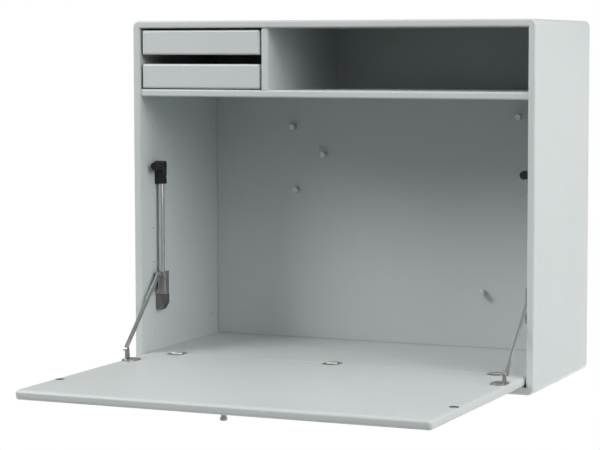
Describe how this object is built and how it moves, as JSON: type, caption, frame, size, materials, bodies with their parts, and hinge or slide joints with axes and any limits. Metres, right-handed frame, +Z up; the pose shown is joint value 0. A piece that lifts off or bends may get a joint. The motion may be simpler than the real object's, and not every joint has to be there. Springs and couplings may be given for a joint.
{
  "type": "secretary desk",
  "caption": "Wall-hung secretary cabinet with a drop-down writing lid on stays, small drawers, an open cubby and a magnetic back wall.",
  "frame": {"origin": "centre of the back face, on the wall plane", "axes": "+Z up, +Y into the wall, the front faces -Y, +X to the right as seen from the front"},
  "size_m": [0.696, 0.6939, 0.5812],
  "materials": {
    "lacquer": "pale cool-grey satin lacquer on fibreboard",
    "painted_sheet": "pale cool-grey satin lacquer on steel sheet",
    "plain_wood": "bare beech",
    "black_plastic": "moulded black, matt",
    "nickel": "nickel plate, satin",
    "chrome": "polished chrome plate",
    "zinc_steel": "bright zinc plate"
  },
  "bodies": {
    "cabinet": {"top_panel": "lacquer", "bottom_panel": "lacquer", "left_side": "lacquer", "right_side": "lacquer", "back_panel": "lacquer", "shelf": "lacquer", "divider": "lacquer", "floor_board": "lacquer", "magnet_sheet": "painted_sheet", "corner_splines": "plain_wood", "carcase_dowels": "plain_wood", "back_screws": "zinc_steel", "hanger_plates": "zinc_steel", "hanger_screws": "zinc_steel", "runners_left": "plain_wood", "runners_right": "plain_wood", "runner_screws": "zinc_steel", "stay_tube_left": "chrome", "stay_cap_left": "black_plastic", "catch_left": "black_plastic", "stay_foot_left": "nickel", "stay_tube_right": "chrome", "stay_cap_right": "black_plastic", "catch_right": "black_plastic", "stay_foot_right": "nickel", "stay_screws": "zinc_steel", "hinge_floor_cups": "nickel", "hinge_pins": "chrome"},
    "drawer_lower": {"drawer_lower_front": "lacquer", "drawer_lower_left": "lacquer", "drawer_lower_right": "lacquer", "drawer_lower_back": "lacquer", "drawer_lower_bottom": "lacquer"},
    "drawer_upper": {"drawer_upper_front": "lacquer", "drawer_upper_left": "lacquer", "drawer_upper_right": "lacquer", "drawer_upper_back": "lacquer", "drawer_upper_bottom": "lacquer"},
    "lid": {"lid_panel": "lacquer", "lid_knob": "lacquer", "knob_screw": "zinc_steel", "strike_plates": "nickel", "hinge_lid_cups": "nickel", "lid_bracket_left": "nickel", "lid_bracket_right": "nickel", "bracket_screws": "zinc_steel", "bracket_pins": "chrome"},
    "arm_left": {"stay_arm_left": "chrome"},
    "arm_right": {"stay_arm_right": "chrome"},
    "slider_left": {"stay_slider_left": "nickel", "slider_pins_left": "chrome"},
    "slider_right": {"stay_slider_right": "nickel", "slider_pins_right": "chrome"},
    "magnet_1": {"magnet_1": "nickel"},
    "magnet_2": {"magnet_2": "nickel"},
    "magnet_3": {"magnet_3": "nickel"},
    "magnet_4": {"magnet_4": "nickel"},
    "magnet_5": {"magnet_5": "nickel"}
  },
  "joints": [
    {"name": "lid_hinge", "type": "hinge", "parent": "cabinet", "child": "lid", "pos_m": [0, -0.2664, -0.2627], "axis": [-1, 0, 0], "range_deg": [0, 90]},
    {"name": "stay_arm_left_pivot", "type": "hinge", "parent": "lid", "child": "arm_left", "pos_m": [-0.328, -0.3602, -0.2457], "axis": [1, 0, 0], "range_deg": [0, 134.13]},
    {"name": "stay_arm_right_pivot", "type": "hinge", "parent": "lid", "child": "arm_right", "pos_m": [0.328, -0.3602, -0.2457], "axis": [1, 0, 0], "range_deg": [0, 134.13]},
    {"name": "stay_slider_left_slide", "type": "slide", "parent": "cabinet", "child": "slider_left", "axis": [0, 0, 1], "range_m": [0, 0.12617]},
    {"name": "stay_slider_right_slide", "type": "slide", "parent": "cabinet", "child": "slider_right", "axis": [0, 0, 1], "range_m": [0, 0.12617]},
    {"name": "drawer_lower_slide", "type": "slide", "parent": "cabinet", "child": "drawer_lower", "axis": [0, -1, 0], "range_m": [0, 0.2]},
    {"name": "drawer_upper_slide", "type": "slide", "parent": "cabinet", "child": "drawer_upper", "axis": [0, -1, 0], "range_m": [0, 0.2]},
    {"name": "magnet_1_pull", "type": "slide", "parent": "cabinet", "child": "magnet_1", "axis": [0, -1, 0], "range_m": [0, 0.06]},
    {"name": "magnet_2_pull", "type": "slide", "parent": "cabinet", "child": "magnet_2", "axis": [0, -1, 0], "range_m": [0, 0.06]},
    {"name": "magnet_3_pull", "type": "slide", "parent": "cabinet", "child": "magnet_3", "axis": [0, -1, 0], "range_m": [0, 0.06]},
    {"name": "magnet_4_pull", "type": "slide", "parent": "cabinet", "child": "magnet_4", "axis": [0, -1, 0], "range_m": [0, 0.06]},
    {"name": "magnet_5_pull", "type": "slide", "parent": "cabinet", "child": "magnet_5", "axis": [0, -1, 0], "range_m": [0, 0.06]}
  ],
  "couplings": [
    {"joint": "stay_arm_left_pivot", "follows": "lid_hinge", "ratio": 1.4903},
    {"joint": "stay_arm_right_pivot", "follows": "lid_hinge", "ratio": 1.4903},
    {"joint": "stay_slider_left_slide", "follows": "lid_hinge", "m_per_rad": 0.08032},
    {"joint": "stay_slider_right_slide", "follows": "lid_hinge", "m_per_rad": 0.08032}
  ]
}
